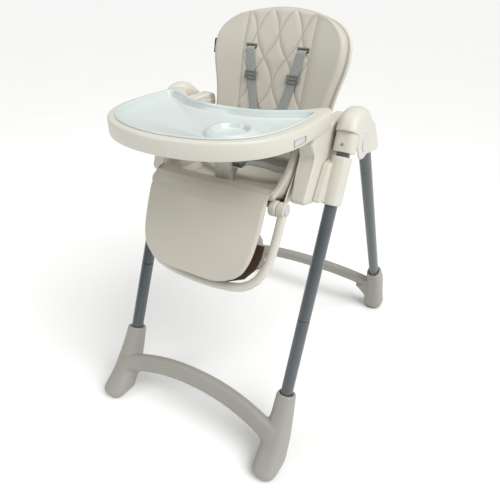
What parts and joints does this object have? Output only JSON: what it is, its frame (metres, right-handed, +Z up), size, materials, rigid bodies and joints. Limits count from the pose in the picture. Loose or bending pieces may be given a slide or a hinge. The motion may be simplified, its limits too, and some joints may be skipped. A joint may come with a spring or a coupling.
{
  "type": "baby high chair",
  "caption": "Folding baby high chair with A-frame steel legs, a padded height-sliding seat, reclining back, lifting leg rest, harness and slide-off tray.",
  "frame": {"origin": "on the floor, under the middle of the chair's overall box, with the back upright and the seat at its highest setting", "axes": "+Z up, -Y the way the child faces, +X the side of the cup well"},
  "size_m": [0.58, 0.88, 1.011],
  "materials": {
    "beige_plastic": "satin injection-moulded polypropylene",
    "white_plastic": "semi-gloss moulded liner",
    "grey_button": "satin moulded button",
    "grey_steel": "satin dark grey powder coat on oval steel tube",
    "zinc_steel": "zinc-plated steel",
    "rubber": "matt black rubber",
    "soft_leather": "soft grain artificial leather",
    "webbing": "woven grey polyester webbing",
    "grey_plastic": "matt moulded acetal",
    "brown_board": "bare brown hardboard",
    "navy_label": "woven label"
  },
  "bodies": {
    "front_frame": {"front_foot": "beige_plastic", "front_leg_lower_left": "grey_steel", "front_leg_lower_right": "grey_steel", "front_leg_upper_left": "grey_steel", "front_leg_upper_right": "grey_steel", "hub_cover_left": "beige_plastic", "hub_cover_right": "beige_plastic", "hub_socket_left": "beige_plastic", "hub_socket_right": "beige_plastic", "fold_pin_left": "zinc_steel", "fold_pin_right": "zinc_steel", "front_sole_left": "rubber", "front_sole_right": "rubber"},
    "rear_frame": {"rear_foot": "beige_plastic", "rear_leg_left": "grey_steel", "rear_leg_right": "grey_steel", "rear_knuckle_left": "beige_plastic", "rear_knuckle_right": "beige_plastic", "rear_sole_left": "rubber", "rear_sole_right": "rubber", "rear_foot_screw_left": "zinc_steel", "rear_foot_screw_right": "zinc_steel"},
    "seat": {"seat_shell": "beige_plastic", "seat_pad": "soft_leather", "armrest_left": "beige_plastic", "armrest_right": "beige_plastic", "height_slider_left": "beige_plastic", "height_slider_right": "beige_plastic", "leg_rest_pin_left": "zinc_steel", "leg_rest_pin_right": "zinc_steel", "backrest_pin_left": "zinc_steel", "backrest_pin_right": "zinc_steel", "waist_strap_left": "webbing", "waist_strap_right": "webbing", "crotch_post": "beige_plastic", "crotch_strap": "webbing", "harness_buckle": "grey_plastic"},
    "backrest": {"back_shell": "beige_plastic", "back_pad": "soft_leather", "shoulder_strap_left": "webbing", "shoulder_strap_right": "webbing", "side_tag": "navy_label"},
    "leg_rest": {"leg_rest_frame": "beige_plastic", "leg_rest_board": "brown_board", "leg_rest_pad": "soft_leather"},
    "tray": {"tray_base": "beige_plastic"},
    "tray_liner": {"tray_liner": "white_plastic"},
    "recline_lever": {"recline_lever": "grey_button"},
    "buckle_button": {"buckle_button": "grey_button"},
    "fold_button_left": {"fold_button_left": "grey_button"},
    "fold_button_right": {"fold_button_right": "grey_button"},
    "height_lever_left": {"height_lever_left": "grey_button"},
    "height_lever_right": {"height_lever_right": "grey_button"},
    "leg_rest_button_left": {"leg_rest_button_left": "grey_button"},
    "leg_rest_button_right": {"leg_rest_button_right": "grey_button"},
    "tray_catch_left": {"tray_catch_left": "beige_plastic"},
    "tray_catch_right": {"tray_catch_right": "beige_plastic"},
    "strap_adjuster_left": {"strap_adjuster_left": "grey_plastic"},
    "strap_adjuster_right": {"strap_adjuster_right": "grey_plastic"}
  },
  "joints": [
    {"name": "fold", "type": "hinge", "parent": "front_frame", "child": "rear_frame", "pos_m": [0, 0, 0.748], "axis": [1, 0, 0], "range_deg": [-45, 0]},
    {"name": "seat_height", "type": "slide", "parent": "front_frame", "child": "seat", "axis": [0, 0.3827, 0.9239], "range_m": [-0.24, 0]},
    {"name": "back_recline", "type": "hinge", "parent": "seat", "child": "backrest", "pos_m": [0, 0.024, 0.64], "axis": [1, 0, 0], "range_deg": [-30, 8]},
    {"name": "leg_rest_tilt", "type": "hinge", "parent": "seat", "child": "leg_rest", "pos_m": [0, -0.215, 0.637], "axis": [1, 0, 0], "range_deg": [-55, 15]},
    {"name": "tray_slide", "type": "slide", "parent": "seat", "child": "tray", "axis": [0, -1, 0], "range_m": [-0.03, 0.1]},
    {"name": "tray_liner_lift", "type": "slide", "parent": "tray", "child": "tray_liner", "axis": [0, 0, 1], "range_m": [0, 0.1]},
    {"name": "recline_release", "type": "slide", "parent": "backrest", "child": "recline_lever", "axis": [0, 0.2588, 0.9659], "range_m": [0, 0.007], "stiffness_N_per_m": 800, "springref_m": -0.002},
    {"name": "buckle_release", "type": "slide", "parent": "seat", "child": "buckle_button", "axis": [0, 0, -1], "range_m": [0, 0.0025], "stiffness_N_per_m": 800, "springref_m": -0.002},
    {"name": "fold_release_left", "type": "slide", "parent": "front_frame", "child": "fold_button_left", "axis": [1, 0, 0], "range_m": [0, 0.005], "stiffness_N_per_m": 800, "springref_m": -0.002},
    {"name": "height_release_left", "type": "slide", "parent": "seat", "child": "height_lever_left", "axis": [0, -0.9239, 0.3827], "range_m": [0, 0.004], "stiffness_N_per_m": 800, "springref_m": -0.002},
    {"name": "leg_rest_release_left", "type": "slide", "parent": "leg_rest", "child": "leg_rest_button_left", "axis": [1, 0, 0], "range_m": [0, 0.004], "stiffness_N_per_m": 800, "springref_m": -0.002},
    {"name": "tray_release_left", "type": "slide", "parent": "tray", "child": "tray_catch_left", "axis": [1, 0, 0], "range_m": [0, 0.004], "stiffness_N_per_m": 800, "springref_m": -0.002},
    {"name": "strap_slide_left", "type": "slide", "parent": "backrest", "child": "strap_adjuster_left", "axis": [-0.2099, 0.253, 0.9444], "range_m": [-0.04, 0.02]},
    {"name": "fold_release_right", "type": "slide", "parent": "front_frame", "child": "fold_button_right", "axis": [-1, 0, 0], "range_m": [0, 0.005], "stiffness_N_per_m": 800, "springref_m": -0.002},
    {"name": "height_release_right", "type": "slide", "parent": "seat", "child": "height_lever_right", "axis": [0, -0.9239, 0.3827], "range_m": [0, 0.004], "stiffness_N_per_m": 800, "springref_m": -0.002},
    {"name": "leg_rest_release_right", "type": "slide", "parent": "leg_rest", "child": "leg_rest_button_right", "axis": [-1, 0, 0], "range_m": [0, 0.004], "stiffness_N_per_m": 800, "springref_m": -0.002},
    {"name": "tray_release_right", "type": "slide", "parent": "tray", "child": "tray_catch_right", "axis": [-1, 0, 0], "range_m": [0, 0.004], "stiffness_N_per_m": 800, "springref_m": -0.002},
    {"name": "strap_slide_right", "type": "slide", "parent": "backrest", "child": "strap_adjuster_right", "axis": [0.2099, 0.253, 0.9444], "range_m": [-0.04, 0.02]}
  ]
}
